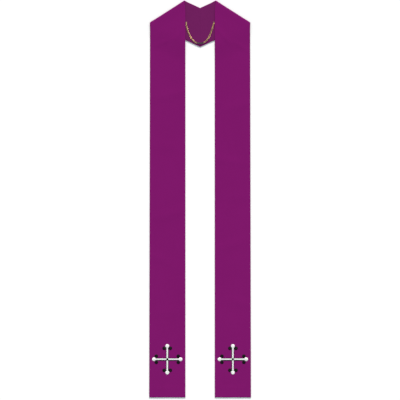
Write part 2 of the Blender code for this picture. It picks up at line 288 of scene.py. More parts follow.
def folded(cut_point, depth):
    """Where a point of the flat cut lies on the folded stole, at a depth in from the face side."""
    from_fold_point = cut_point - FOLD_POINT
    past_fold = from_fold_point.dot(OFF_FOLD)
    shift = shift_along_fold(cut_point.x - CUT_INNER_EDGE, past_fold)
    on_fold = FOLD_POINT + ALONG_FOLD * (from_fold_point.dot(ALONG_FOLD) + shift)
    if abs(past_fold) < HALF_ROLL:
        turn = past_fold / ROLL_RADIUS
        radius = ROLL_RADIUS - depth
        place = on_fold + OFF_FOLD * (ROLL_RADIUS - radius * math.cos(turn))
        return place.to_3d() + Vector((0, 0, ROLL_RADIUS + radius * math.sin(turn)))
    from_fold = abs(past_fold) - ROLL_TAKE_UP
    place = on_fold + OFF_FOLD * from_fold
    if past_fold < 0:
        return place.to_3d() + Vector((0, 0, depth))
    return place.to_3d() + Vector((0, 0, front_surface(place, from_fold) - depth))


def row_at_distance(past_fold):
    """The heights of a row that runs along the fold, at the cut's inner and outer edges."""
    return [
        FOLD_HEIGHT - (past_fold + (edge - INNER_EDGE) * math.sin(FOLD_SLOPE)) / math.cos(FOLD_SLOPE)
        for edge in CUT_EDGES
    ]


def row_past_neck_strip(distance):
    """The heights of a row that runs along the neck strip's lower edge, a distance below it on the floor."""
    return [
        NECK_LOWER_POINT.y
        + edge * math.tan(NECK_SLOPE)
        - distance / math.cos(NECK_SLOPE)
        - TAKE_UP_DOWN
        for edge in (INNER_EDGE, INNER_EDGE + NECK_WIDTH)
    ]


def mitre_row(clearance):
    """The heights of a row that lies along the centre-back seam, a clearance from the centre line."""
    heights = []
    for edge in CUT_EDGES:
        trial = Vector((edge, FOLD_HEIGHT + OVERALL_LENGTH))
        across = folded(trial, 0.0).x
        heights.append(trial.y + (across - clearance) / math.cos(NECK_SLOPE))
    return heights


def between(first, last, count):
    """Rows from first to last, in count even steps, without first itself."""
    steps = range(1, count + 1)
    return [[a + (b - a) * step / count for a, b in zip(first, last)] for step in steps]


def stretch_at(reached, distance):
    """Which stretch of a list holds a distance, by the number of its end, and the share of it before that."""
    index = min(max(bisect_right(reached, distance), 1), len(reached) - 1)
    start, end = reached[index - 1], reached[index]
    return index, (distance - start) / (end - start)


class Cut:
    """The flat cut of one half: its rows from the centre-back seam to the hem, and how far along each is."""

    def __init__(self):
        rows = [mitre_row(clearance) for clearance in SEAM_CLEARANCES]
        rows += between(rows[-1], row_at_distance(-HALF_ROLL), NECK_ROWS)
        for step in range(1, ROLL_ROWS + 1):
            rows.append(row_at_distance((2 * step / ROLL_ROWS - 1) * HALF_ROLL))
        rows += between(rows[-1], row_past_neck_strip(SETTLED_RUN), SHOULDER_ROWS)
        rows += between(rows[-1], [CUT_HEM + HEM_TURN] * 2, FRONT_ROWS)
        rows.append([CUT_HEM] * 2)
        self.rows = rows
        self.stations = [0.0]
        self.area = 0.0
        for row, after in zip(rows, rows[1:]):
            step = (sum(row) - sum(after)) / 2
            self.stations.append(self.stations[-1] + step)
            self.area += (strip_width(row[1]) + strip_width(after[1])) / 2 * step
        self.length = self.stations[-1]
        widest = max(strip_width(row[1]) for row in rows)
        self.flat = (widest, max(rows[0]) - CUT_HEM)

    def point(self, across, along):
        """The point of the cut at a distance across from its inner edge and along from the seam."""
        index, share = stretch_at(self.stations, along)
        inner, outer = (a + (b - a) * share for a, b in zip(self.rows[index - 1], self.rows[index]))
        reach = across / NECK_WIDTH
        height = inner + (outer - inner) * reach
        return Vector((CUT_INNER_EDGE + strip_width(outer) * reach, height))

    def past_fold(self, point):
        return (point - FOLD_POINT).dot(OFF_FOLD)


CUT = Cut()


# --- How the cloth lies ---


def crease_lift(label, across, below):
    """Height of the soft ridges at a place on a front, in metres."""
    lift = 0.0
    for middle, drop, half_length, half_width, height, slant in CREASES[label]:
        turn = math.radians(slant)
        x, y = across - middle * MM, below - drop * MM
        along = (x * math.cos(turn) + y * math.sin(turn)) / (half_length * MM)
        off = (y * math.cos(turn) - x * math.sin(turn)) / (half_width * MM)
        if abs(along) < CREASE_END and abs(off) < CREASE_END:
            lift += height * MM * math.exp(-(along**2) - off**2)
    return lift


def cloth_lift(label, place, past_fold):
    """How far a front is lifted off what it lies on, at a place on the right-hand half."""
    free = smooth_step((past_fold - LIFT_START) / LIFT_RUN)
    if free == 0.0:
        return 0.0
    ripple = noise.noise(Vector((place.x, place.y, SWELL_LEVELS[label])) / SWELL_SIZE)
    swell = SWELL_HEIGHT * (0.5 + 0.5 * ripple)
    creases = crease_lift(label, place.x - INNER_EDGE, SHOULDER_POINT - place.y)
    return free * (swell + creases)


def edge_distance(across, along):
    """How far a point of the cut is from its nearest long edge, and from the hem."""
    return min(across, NECK_WIDTH - across), CUT.length - along


def seam_ditch(along):
    """How far the centre-back seam pulls the cloth in."""
    return SEAM_DITCH_DEPTH * math.exp(-((along / SEAM_DITCH_WIDTH) ** 2))


def face_sink(across, along):
    """How far the face cloth sinks between its turned edges."""
    from_edge, from_hem = edge_distance(across, along)
    sides = smooth_step((from_edge - TURNED_WIDTH) / TURNED_FADE)
    ends = smooth_step((from_hem - TURNED_HEM) / TURNED_FADE)
    return TURNED_SINK * min(sides, ends) + seam_ditch(along)


def lining_rise(across, along, past_fold):
    """How far the lining stands up off the back of the neck. Under the fronts it is pressed flat."""
    from_edge = edge_distance(across, along)[0] - EDGE_TURN
    open_lining = smooth_step(-past_fold / LIFT_RUN)
    fullness = LINING_FULLNESS * smooth_step(from_edge / PUCKER_REACH)
    near_edge = math.exp(-from_edge / PUCKER_REACH)
    near_seam = math.exp(-along / PUCKER_REACH)
    drift = PUCKER_DRIFT * noise.noise(Vector((across, along, 0.0)) / SWELL_SIZE)
    ripples = near_edge * math.sin(math.tau * (along / PUCKER_PITCH + drift))
    ripples += near_seam * math.sin(math.tau * (across / PUCKER_PITCH + drift))
    return open_lining * (fullness + PUCKER_HEIGHT * ripples) - seam_ditch(along)


# --- Meshes ---


def flat_grid(bm, columns, stations):
    """A flat sheet with a line of vertices at each column across and each station along."""
    bmesh.ops.create_grid(bm, x_segments=len(columns) - 1, y_segments=len(stations) - 1, size=1.0)
    for vert in bm.verts:
        column = round((vert.co.x + 1) / 2 * (len(columns) - 1))
        station = round((vert.co.y + 1) / 2 * (len(stations) - 1))
        vert.co = Vector((columns[column], stations[station], 0.0))


def sink_faces(bm, faces, depth):
    """Extrudes faces into the cloth by a depth. The faces of an open sheet stay behind, as its other side."""
    open_sheet = any(edge.is_boundary for face in faces for edge in face.edges)
    sunk = bmesh.ops.extrude_face_region(bm, geom=faces)["geom"]
    verts = [item for item in sunk if isinstance(item, bmesh.types.BMVert)]
    bmesh.ops.translate(bm, verts=verts, vec=(0.0, 0.0, -depth))
    if not open_sheet:
        bmesh.ops.delete(bm, geom=[face for face in faces if face.is_valid], context="FACES")


def face_outwards(bm):
    """Turns the faces of one closed form outwards."""
    bmesh.ops.recalc_face_normals(bm, faces=bm.faces)
    if bm.calc_volume(signed=True) < 0:
        bmesh.ops.reverse_faces(bm, faces=bm.faces)


def near(a, b):
    return abs(a - b) < 0.01 * MM


def round_rim(bm, levels, margin, end, radius, segments):
    """Bevels the flat cloth's edges at some levels: along both sides, a margin in, and along an end."""
    sides = (margin, NECK_WIDTH - margin)

    def on_rim(edge):
        a, b = (vert.co for vert in edge.verts)
        if not (near(a.z, b.z) and any(near(a.z, level) for level in levels)):
            return False
        if near(a.x, b.x):
            return any(near(a.x, side) for side in sides) and min(a.y, b.y) < end
        return near(a.y, b.y) and near(a.y, end) and sides[0] < (a.x + b.x) / 2 < sides[1]

    bmesh.ops.bevel(
        bm, geom=[edge for edge in bm.edges if on_rim(edge)], offset=radius, offset_type="OFFSET",
        segments=segments, profile=0.5, affect="EDGES", clamp_overlap=True, material=-1,
    )


def even_columns(margin):
    """Columns across the cloth, from a margin in at one edge to the same margin in at the other."""
    inner = NECK_WIDTH - 2 * margin
    return [margin + inner * cell / CLOTH_CELLS_ACROSS for cell in range(CLOTH_CELLS_ACROSS + 1)]


def model_face_cloth(bm):
    """The face cloth laid out flat: a wall with rounded edges, turned in round the lining."""
    flat_grid(bm, [0.0, *even_columns(EDGE_TURN), NECK_WIDTH], CUT.stations)
    sink_faces(bm, bm.faces[:], FACE_THICKNESS)
    hem_line = CUT.length - HEM_TURN

    def is_turned(face):
        middle = face.calc_center_median()
        under = near(middle.z, -FACE_THICKNESS)
        side = min(middle.x, NECK_WIDTH - middle.x) < EDGE_TURN
        return under and (side or middle.y > hem_line)

    sink_faces(bm, [face for face in bm.faces if is_turned(face)], STRIP_THICKNESS - FACE_THICKNESS)
    round_rim(bm, (0.0, -STRIP_THICKNESS), 0.0, CUT.length, FACE_EDGE_ROUND, 3)
    round_rim(bm, (-STRIP_THICKNESS,), EDGE_TURN, hem_line, LINING_EDGE_ROUND, 2)


def model_lining(bm):
    """The lining laid out flat: a thin wall with rounded edges, just inside the turned edges."""
    margin = EDGE_TURN + LINING_GAP
    end = CUT.length - HEM_TURN - LINING_GAP
    stations = [station for station in CUT.stations if station < end - MM] + [end]
    flat_grid(bm, even_columns(margin), stations)
    top = FACE_THICKNESS + LINING_LEVEL_GAP
    bmesh.ops.translate(bm, verts=bm.verts, vec=(0.0, 0.0, -top))
    sink_faces(bm, bm.faces[:], STRIP_THICKNESS - top)
    round_rim(bm, (-STRIP_THICKNESS,), margin, end, LINING_EDGE_ROUND, 2)


def map_cut(bm):
    """A UV map in metres of the cut, along its straight grain, which runs on down the sides of the wall."""
    face_outwards(bm)
    bm.normal_update()
    bm.verts.index_update()
    places = [CUT.point(vert.co.x, vert.co.y) for vert in bm.verts]
    layer = bm.loops.layers.uv.new("cut")
    for face in bm.faces:
        facing = face.normal
        for loop in face.loops:
            place, up = places[loop.vert.index], loop.vert.co.z
            across, along = place.x - CUT_INNER_EDGE, FOLD_HEIGHT - place.y
            if abs(facing.x) > SIDEWAYS:
                across -= math.copysign(up, facing.x)
            elif abs(facing.y) > SIDEWAYS:
                along -= math.copysign(up, facing.y)
            loop[layer].uv = (across, along)


def lay_vert(vert, label, side, cut_point, depth):
    """Takes a vertex to where a point of the cut lies on one half, at a depth in from the face side."""
    place = folded(cut_point, depth)
    place.z += cloth_lift(label, place, CUT.past_fold(cut_point))
    vert.co = Vector((side * place.x, place.y, place.z))


def lay_out(bm, label, side, settle):
    """Takes flat cloth to where it lies on one half. settle gives each point's own shift in depth."""
    for vert in bm.verts:
        across, along, up = vert.co
        cut_point = CUT.point(across, along)
        depth = settle(across, along, -up, CUT.past_fold(cut_point))
        lay_vert(vert, label, side, cut_point, depth)
    face_outwards(bm)


def settle_face(across, along, depth, past_fold):
    """The outer side sinks between the turned edges and into the seam. The inner side follows the seam."""
    outer = 1 - smooth_step(depth / FACE_THICKNESS)
    inner = smooth_step((depth - FACE_THICKNESS) / (STRIP_THICKNESS - FACE_THICKNESS))
    return depth + outer * face_sink(across, along) - inner * seam_ditch(along)


def settle_lining(across, along, depth, past_fold):
    """The lining's open side is a little full, puckered at its stitches and drawn into the seam."""
    outer = smooth_step((depth - FACE_THICKNESS) / (STRIP_THICKNESS - FACE_THICKNESS))
    return depth + outer * lining_rise(across, along, past_fold)


def add_felling(bm, template, label, side, middle, half):
    """Adds one felling stitch across the lining's edge, from its middle and half its run on the cut."""
    start, end = (CUT.point(*(middle + half * way)) for way in (-1, 1))
    past_fold = CUT.past_fold((start + end) / 2)
    open_lining = smooth_step(-past_fold / LIFT_RUN)
    crown = STRIP_THICKNESS - FELLING_THREAD + (FELLING_THREAD + FELLING_PROUD) * open_lining

    def height(share):
        return -(crown - FELLING_DIP * abs(2 * share - 1) ** 3)

    first = len(bm.verts)
    add_stitch(bm, template, start, end, FELLING_THREAD, height)
    bm.verts.ensure_lookup_table()
    for vert in bm.verts[first:]:
        lay_vert(vert, label, side, vert.co.to_2d(), -vert.co.z)


def cross_stitches(look, dice):
    """The white and the black stitches of a cross about its middle: start, end, fullness and raise."""
    tip = CROSS_REACH - TIP_BUD_RADIUS
    inner = ARM_HALF_WIDTH - look.border_width
    neck = tip - math.sqrt(TIP_BUD_RADIUS**2 - ARM_HALF_WIDTH**2)
    aside = ARM_HALF_WIDTH + SIDE_BUD_RADIUS + BUD_GAP
    back = math.sqrt((TIP_BUD_RADIUS + SIDE_BUD_RADIUS + BUD_GAP) ** 2 - aside**2)

    def stray():
        return dice.uniform(-STITCH_STRAY, STITCH_STRAY)

    def ends(out, middle, half):
        """The ends of a stitch across an arm, to either side of a middle."""
        return [Vector((out, middle + reach + stray())) for reach in (-half, half)]

    def rows(first, last):
        count = max(1, round((last - first) / look.thread_pitch))
        return [first + (last - first) * (row + 0.5) / count for row in range(count)]

    def bud_rows(radius):
        """Rows across a bud, closer together where its rounded rim falls away."""
        count = 2 * round(RIM_CROWDING * radius / look.thread_pitch)
        turns = (RIM_CROWDING * (2 * row + 1 - count) / count for row in range(count))
        return [radius * math.sin(turn) for turn in turns]

    def arm_half_width(out):
        if out < neck:
            return inner
        return math.sqrt(max(TIP_BUD_RADIUS**2 - (out - tip) ** 2, 0.0))

    def fullness(share):
        return 1.0 - RIM_FLATTENING * max(share, 0.0) ** 3

    white, black = [], []
    end_rows = [tip + out for out in bud_rows(TIP_BUD_RADIUS) if out > 0]
    for out in [-out for out in end_rows] + rows(-tip, tip) + end_rows:
        upright = [end.yx for end in ends(out, 0.0, arm_half_width(abs(out)))]
        white.append((*upright, fullness((abs(out) - tip) / TIP_BUD_RADIUS), 0.0))
    for out in rows(inner, tip) + end_rows:
        half, full = arm_half_width(out), fullness((out - tip) / TIP_BUD_RADIUS)
        for way in (-1, 1):
            white.append((*ends(way * out, 0.0, half), full, 0.0))
    for turn in range(4):
        spin = Matrix.Rotation(turn * math.pi / 2, 2)
        for way in (-1, 1):
            for out in rows(inner if turn % 2 else ARM_HALF_WIDTH, neck):
                start, end = Vector((out, way * inner)), Vector((out, way * ARM_HALF_WIDTH + stray()))
                black.append((spin @ start, spin @ end, BORDER_FULLNESS, 0.0))
            for out in bud_rows(SIDE_BUD_RADIUS):
                half = math.sqrt(SIDE_BUD_RADIUS**2 - out**2)
                start, end = ends(tip - back + out, way * aside, half)
                black.append((spin @ start, spin @ end, fullness(abs(out) / SIDE_BUD_RADIUS), 0.0))
    for out in rows(-look.centre_reach, look.centre_reach):
        half, full = look.centre_reach - abs(out), fullness(abs(out) / look.centre_reach)
        black.append((Vector((-half, out)), Vector((half, out)), full, CENTRE_RAISE))
    return white, black


def embroider(bm, label, side, stitches, look):
    """Lays the stitches of a cross on its front."""
    template = thread_template()
    centre = Vector((side * FRONT_MIDDLE, CROSS_MIDDLE))
    for start, end, full, raised in stitches:
        low = STITCH_BASE - STITCH_DIVE + raised
        high = STITCH_TOP - look.thread_radius + raised
        spot = centre + (start + end) / 2
        lift = cloth_lift(label, Vector((side * spot.x, spot.y, 0.0)), 1.0)

        def height(share):
            return lift + low + (high - low) * full * arch(share, STITCH_SHARPNESS)

        add_stitch(bm, template, centre + start, centre + end, look.thread_radius, height)


# --- Finishes ---


def shader_operator(operation, swapped=False):
    """A method of Value that adds one Math node. The value goes first, unless it is swapped."""

    def method(self, *others):
        terms = (*others, self) if swapped else (self, *others)
        node = self.finish.node("ShaderNodeMath", {"operation": operation}, terms)
        return Value(self.finish, node.outputs[0])

    return method


class Value:
    """A number that changes over a surface. Arithmetic on it adds Math nodes to its finish."""

    def __init__(self, finish, socket):
        self.finish = finish
        self.socket = socket

    __add__ = __radd__ = shader_operator("ADD")
    __sub__ = shader_operator("SUBTRACT")
    __rsub__ = shader_operator("SUBTRACT", swapped=True)
    __mul__ = __rmul__ = shader_operator("MULTIPLY")
    __truediv__ = shader_operator("DIVIDE")
    __pow__ = shader_operator("POWER")
    floor = shader_operator("FLOOR")
    size = shader_operator("ABSOLUTE")
    least = shader_operator("MINIMUM")
    most = shader_operator("MAXIMUM")
    sine = shader_operator("SINE")

    def wave(self):
        """0 to 1 and back for each whole turn in the value."""
        return (self * math.tau).sine() * 0.5 + 0.5

    def ramp(self, low, high):
        """0 to 1 with level ends, as the value goes from low to high."""
        smooth = {"interpolation_type": "SMOOTHSTEP"}
        ends = {"Value": self, "From Min": low, "From Max": high}
        return Value(self.finish, self.finish.node("ShaderNodeMapRange", smooth, ends).outputs[0])


class Finish:
    """A material in the making: its Principled shader, and one method that adds any other node."""

    def __init__(self, name, **constants):
        self.material = bpy.data.materials.new(name)
        self.material.use_nodes = True
        self.tree = self.material.node_tree
        self.shader = self.tree.nodes["Principled BSDF"]
        for socket, value in constants.items():
            self.set(self.shader.inputs[socket.replace("_", " ")], value)

    def set(self, socket, value):
        """Gives a socket a number, a colour or a link."""
        if isinstance(value, Value):
            value = value.socket
        if isinstance(value, bpy.types.NodeSocket):
            self.tree.links.new(value, socket)
        else:
            socket.default_value = value

    def node(self, kind, settings=None, inputs=()):
        """Adds a node, with its settings first and then what goes into its sockets."""
        node = self.tree.nodes.new(kind)
        for name, value in (settings or {}).items():
            setattr(node, name, value)
        pairs = inputs.items() if isinstance(inputs, dict) else enumerate(inputs)
        for socket, value in pairs:
            self.set(node.inputs[socket], value)
        return node

    def mix(self, share, first, second):
        """A colour between two colours."""
        ends = {"Factor": share, 6: first, 7: second}
        return self.node("ShaderNodeMix", {"data_type": "RGBA"}, ends).outputs[2]

    def tones(self, share, colour, darkest, lightest):
        """A colour between a darker and a lighter shade of one colour."""
        return self.mix(share, shade(colour, darkest), shade(colour, lightest))

    def split(self, vector):
        """The first two parts of a vector."""
        parts = self.node("ShaderNodeSeparateXYZ", inputs=[vector])
        return Value(self, parts.outputs[0]), Value(self, parts.outputs[1])

    def cut_place(self):
        """The map of the cut, and how far across it and below the fold point a point is, in metres."""
        uv = self.node("ShaderNodeUVMap", {"uv_map": "cut"}).outputs[0]
        return uv, *self.split(uv)

    def place(self):
        """Where a point is on the stole."""
        return self.node("ShaderNodeTexCoord").outputs["Object"]

    def grain(self, vector, stretch, detail=2.0):
        """Soft noise from 0 to 1, with its size in metres along each axis."""
        scale = {"Vector": vector, "Scale": [1 / size for size in stretch]}
        scaled = self.node("ShaderNodeMapping", inputs=scale).outputs[0]
        node = self.node("ShaderNodeTexNoise", inputs={"Vector": scaled, "Scale": 1.0, "Detail": detail})
        return Value(self, node.outputs[0])

    def bump(self, height, distance, strength=1.0):
        """Feeds a height from 0 to 1, which is a distance in metres, to the shader's normal."""
        relief = {"Strength": strength, "Distance": distance, "Height": height}
        node = self.node("ShaderNodeBump", inputs=relief)
        self.set(self.shader.inputs["Normal"], node.outputs["Normal"])

    def done(self, colour, roughness):
        """The material, with its colour and roughness."""
        self.set(self.shader.inputs["Base Color"], colour)
        self.set(self.shader.inputs["Roughness"], roughness)
        return self.material


def shade(colour, factor):
    """A colour made lighter or darker, with its alpha."""
    return (*(min(1.0, channel * factor) for channel in colour), 1.0)


def plain_weave(across, along, pitch):
    """The height, from 0 to 1, of threads that pass over and under each other."""
    warp, weft = across / pitch, along / pitch
    warp_number, weft_number = warp.floor(), weft.floor()
    warp_round = 1 - ((warp - warp_number) * 2 - 1) ** 2
    weft_round = 1 - ((weft - weft_number) * 2 - 1) ** 2
    warp_over = ((weft + warp_number) * 0.5).wave()
    weft_over = 1 - ((warp + weft_number) * 0.5).wave()
    return (warp_round * warp_over).most(weft_round * weft_over)


MATT = {"Specular_IOR_Level": 0.01, "Sheen_Weight": 0.04}


def face_cloth_finish(name):
    """Matt plain-woven cloth, with threads that thicken here and there and slightly rubbed edges."""
    look = bpy.context.scene.stole_cloth
    finish = Finish(name, **MATT, Sheen_Tint=(0.8, 0.15, 0.7, 1.0))
    uv, across, along = finish.cut_place()
    weave = plain_weave(across, along, look.face_thread_pitch)
    slubs = 0.5 * (finish.grain(uv, (0.9 * MM, 60 * MM, 1.0)) + finish.grain(uv, (45 * MM, 0.9 * MM, 1.0)))
    cloud = finish.grain(finish.place(), (110 * MM, 160 * MM, 110 * MM), detail=3.0)
    width = along.most(0.0) * ((HEM_WIDTH - NECK_WIDTH) / OVERALL_LENGTH) + NECK_WIDTH
    rubbed = 1 - across.least(width - across).ramp(0.0, 1.8 * MM)
    # The weave term paints shade between the threads: the colour is darker where the weave is lower. The
    # slubs and the cloud are the cloth's own tones.
    tone = 0.36 * weave + 0.34 * slubs + 0.30 * cloud
    colour = finish.tones(tone, look.face_colour, 0.84, 1.16)
    colour = finish.mix(rubbed * 0.25, colour, shade(look.face_colour, 1.45))
    finish.bump(weave * 0.7 + slubs * 0.3, 0.12 * MM, 0.8)
    return finish.done(colour, 0.72 + 0.16 * weave)


def lining_finish(name):
    """A smoother lining in a fine twill, a shade greyer than the face."""
    look = bpy.context.scene.stole_cloth
    finish = Finish(name, **MATT, Sheen_Tint=(0.8, 0.2, 0.7, 1.0))
    uv, across, along = finish.cut_place()
    pitch = look.lining_thread_pitch
    twill = ((across + along) / pitch).wave()
    threads = (across / (pitch / 2)).wave()
    streak = finish.grain(uv, (1.2 * MM, 80 * MM, 1.0))
    cloud = finish.grain(finish.place(), (60 * MM,) * 3, detail=3.0)
    # The twill and thread terms paint shade in the grooves between the ribs: the colour is darker where they
    # are lower. The streaks and the cloud are the lining's own tones.
    tone = 0.3 * twill + 0.1 * threads + 0.3 * streak + 0.3 * cloud
    colour = finish.tones(tone, look.lining_colour, 0.84, 1.16)
    finish.bump(twill * 0.7 + threads * 0.3, 0.05 * MM, 0.7)
    return finish.done(colour, 0.74 + 0.1 * streak)


# Each thread's group and colour, its darkest shade, for the painted shade in the grooves of its twist and its
# own fuzz, and its gloss.
THREADS = {
    "white_rayon": ("stole_crosses", "white", 0.8, 0.3),
    "black_rayon": ("stole_crosses", "black", 0.5, 0.1),
    "purple_sewing_thread": ("stole_cloth", "sewing_colour", 0.6, 0.1),
}


def thread_finish(name):
    """Twisted thread. Its own map runs along each stitch and round it."""
    group, chosen, darkest, gloss = THREADS[name]
    colour = getattr(getattr(bpy.context.scene, group), chosen)
    finish = Finish(name, Specular_IOR_Level=gloss, Sheen_Weight=gloss / 4)
    uv = finish.node("ShaderNodeUVMap", {"uv_map": "thread"}).outputs[0]
    along, around = finish.split(uv)
    ply = (along / (1.1 * MM) + around * 2).wave()
    fuzz = finish.grain(finish.place(), (0.8 * MM,) * 3)
    # The ply term paints shade in the grooves of the twist: the colour is darker where the ply is lower. The
    # fuzz is the thread's own tone.
    tone = finish.tones(0.6 * ply + 0.4 * fuzz, colour, darkest, 1.06)
    finish.bump(ply, 0.06 * MM, 0.6)
    return finish.done(tone, 0.42 + 0.12 * fuzz)


def gilt_finish(name):
    """Gilt wire, scratched all over, with painted shade in the middle of the chain, where the metal is darker
    and duller.
    """
    look = bpy.context.scene.stole_chain
    finish = Finish(name)
    place = finish.place()
    from_middle = finish.split(place)[0].size()
    fleck = finish.grain(place, (1.6 * MM,) * 3, detail=4.0)
    scratch = finish.grain(place, (0.35 * MM, 2.5 * MM, 0.5 * MM))
    # Painted shade: across this width in the middle of the chain, the wire is painted darker, duller, rougher
    # and less metallic, with a ragged edge.
    edge = look.worn_length / 2
    worn = 1 - (from_middle + (fleck - 0.5) * (9 * MM)).ramp(edge - 2.5 * MM, edge + 2.5 * MM)
    gilt = finish.tones(fleck, look.gilt, 0.78, 1.12)
    shaded_wire = finish.tones(fleck, look.worn, 0.7, 1.3)
    finish.bump(scratch, 0.02 * MM, 0.5)
    finish.set(finish.shader.inputs["Metallic"], 1 - worn * 0.45)
    return finish.done(finish.mix(worn, gilt, shaded_wire), 0.34 + 0.1 * scratch + 0.2 * worn)


def floor_finish(name):
    """Matt white board."""
    look = bpy.context.scene.stole_stage
    finish = Finish(name, Specular_IOR_Level=0.1)
    tone = finish.grain(finish.place(), (0.9,) * 3)
    return finish.done(finish.tones(tone, look.floor, 0.995, 1.0), 0.9)


FINISHES = {
    "purple_weave": face_cloth_finish,
    "plum_twill": lining_finish,
    "gilt_wire": gilt_finish,
    "white_board": floor_finish,
    **dict.fromkeys(THREADS, thread_finish),
}


def finish_of(name):
    """A finish by its name, made the first time that a piece asks for it."""
    return bpy.data.materials.get(name) or FINISHES[name](name)


# --- Thread and wire ---


def mesh_from(bm, name):
    """Ends a bmesh as a mesh."""
    mesh = bpy.data.meshes.new(name)
    bm.to_mesh(mesh)
    bm.free()
    return mesh


def add_to_scene(name, data):
    added = bpy.data.objects.new(name, data)
    bpy.context.scene.collection.objects.link(added)
    return added


def thread_template(sides=5, steps=6):
    """A thread of unit length along X with a radius of 1, and a map along it and round it."""
    bm = bmesh.new()
    bmesh.ops.create_cone(bm, cap_ends=True, segments=sides, radius1=1.0, radius2=1.0, depth=1.0)
    lengthwise = [edge for edge in bm.edges if not near(edge.verts[0].co.z, edge.verts[1].co.z)]
    bmesh.ops.subdivide_edges(bm, edges=lengthwise, cuts=steps - 1)
    bmesh.ops.rotate(bm, verts=bm.verts, matrix=Matrix.Rotation(math.pi / 2, 3, "Y"))
    bmesh.ops.recalc_face_normals(bm, faces=bm.faces)
    layer = bm.loops.layers.uv.new("thread")
    for face in bm.faces:
        middle = face.calc_center_median()
        turn = math.atan2(middle.z, middle.y)
        for loop in face.loops:
            x, y, z = loop.vert.co
            off = (math.atan2(z, y) - turn + math.pi) % math.tau - math.pi
            loop[layer].uv = (x + 0.5, (turn + off) / math.tau)
    return mesh_from(bm, "thread_template")


def arch(share, sharpness):
    """0 at both ends of a stitch and 1 at its middle."""
    return 1 - abs(2 * share - 1) ** sharpness


def add_stitch(bm, template, start, end, radius, height):
    """Adds one thread from start to end. height gives its middle line's height at a share of its length."""
    first_vert, first_face = len(bm.verts), len(bm.faces)
    bm.from_mesh(template)
    bm.verts.ensure_lookup_table()
    bm.faces.ensure_lookup_table()
    run = end - start
    aside = run.normalized().orthogonal()
    for vert in bm.verts[first_vert:]:
        share = vert.co.x + 0.5
        level = start + run * share + aside * (vert.co.y * radius)
        vert.co = level.to_3d() + Vector((0, 0, height(share) + vert.co.z * radius))
    layer = bm.loops.layers.uv["thread"]
    for face in bm.faces[first_face:]:
        for loop in face.loops:
            loop[layer].uv.x *= run.length


def new_thread_mesh():
    bm = bmesh.new()
    bm.loops.layers.uv.new("thread")
    return bm


def finish_piece(bm, name, finish, replaced=()):
    """A finished piece of the stole from a bmesh, which rides on its body and stands for some solids."""
    mesh = mesh_from(bm, name)
    mesh.shade_smooth()
    mesh.materials.append(finish_of(finish))
    piece = add_to_scene(name, mesh)
    if replaced:
        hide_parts(*replaced)
    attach(piece, BODY)
    return piece


def smooth_route(points, spacing):
    """Points close together on one smooth curve through a route's own points."""
    route = [Vector(point) for point in points]
    padded = [2 * route[0] - route[1], *route, 2 * route[-1] - route[-2]]
    line = [route[0]]
    for before, start, end, after in zip(padded, padded[1:], padded[2:], padded[3:]):
        count = max(1, round((end - start).length / spacing))
        for step in range(1, count + 1):
            t = step / count
            bend = (2 * before - 5 * start + 4 * end - after) * t**2
            twist = (3 * start - before - 3 * end + after) * t**3
            line.append(0.5 * (2 * start + (end - before) * t + bend + twist))
    return line


def distances_along(line):
    """How far along a line each of its points is."""
    reached = [0.0]
    for a, b in zip(line, line[1:]):
        reached.append(reached[-1] + (b - a).length)
    return reached


def spaced_along(line, reached, count, gap):
    """Places and directions at even steps along a line, with a gap at each end."""
    run = reached[-1] - 2 * gap
    places = []
    for number in range(count):
        index, share = stretch_at(reached, gap + run * number / (count - 1))
        a, b = line[index - 1], line[index]
        places.append((a + (b - a) * share, (b - a).normalized()))
    return places


def wire_ring(bm, bend_radius, wire_radius, steps):
    """A closed ring of round wire in the floor's plane, about the origin."""
    made = bmesh.ops.create_circle(bm, segments=WIRE_SIDES, radius=wire_radius)["verts"]
    bmesh.ops.rotate(bm, verts=made, matrix=Matrix.Rotation(math.pi / 2, 3, "X"))
    bmesh.ops.translate(bm, verts=made, vec=(bend_radius, 0.0, 0.0))
    about = {"axis": (0.0, 0.0, 1.0), "cent": (0.0, 0.0, 0.0), "angle": math.tau}
    bmesh.ops.spin(bm, geom=bm.edges[:], steps=steps, use_merge=True, **about)
    bmesh.ops.recalc_face_normals(bm, faces=bm.faces)


# --- Sizes and colours that a user may change ---


def colour_property(name, description, default):
    words = {"name": name, "description": description, "subtype": "COLOR"}
    return FloatVectorProperty(default=default, min=0.0, max=1.0, size=3, **words)


def length_property(name, description, default):
    words = {"name": name, "description": description, "unit": "LENGTH"}
    return FloatProperty(default=default, min=0.0, precision=5, **words)


def angle_property(name, description, degrees):
    words = {"name": name, "description": description, "subtype": "ANGLE"}
    return FloatProperty(default=math.radians(degrees), **words)


class StoleCloth(bpy.types.PropertyGroup):
    """Colours and threads of the two cloths."""

    face_colour: colour_property("Face", "Colour of the face cloth", (0.174, 0.0071, 0.116))
    lining_colour: colour_property("Lining", "Colour of the lining", (0.1325, 0.0115, 0.0892))
    sewing_colour: colour_property("Sewing thread", "Colour of the sewing thread", (0.17, 0.012, 0.12))
    face_thread_pitch: length_property("Face threads", "Distance between the face's threads", 0.45 * MM)
    lining_thread_pitch: length_property("Lining ribs", "Distance between the twill's ribs", 0.5 * MM)
    felling_pitch: length_property("Felling", "Distance between the lining's edge stitches", 5.5 * MM)


class StoleCrosses(bpy.types.PropertyGroup):
    """Colours and threads of the embroidered crosses."""

    white: colour_property("White", "Colour of the white thread", (0.88, 0.88, 0.87))
    black: colour_property("Black", "Colour of the black thread", (0.005, 0.0045, 0.005))
    thread_pitch: length_property("Thread pitch", "Distance between the stitches", 0.5 * MM)
    thread_radius: length_property("Thread radius", "Radius of the embroidery thread", 0.28 * MM)
    centre_reach: length_property("Black centre", "Half the height of the black centre", 5.6 * MM)
    border_width: length_property("Arm border", "Width of the black border beside an arm", 1.5 * MM)


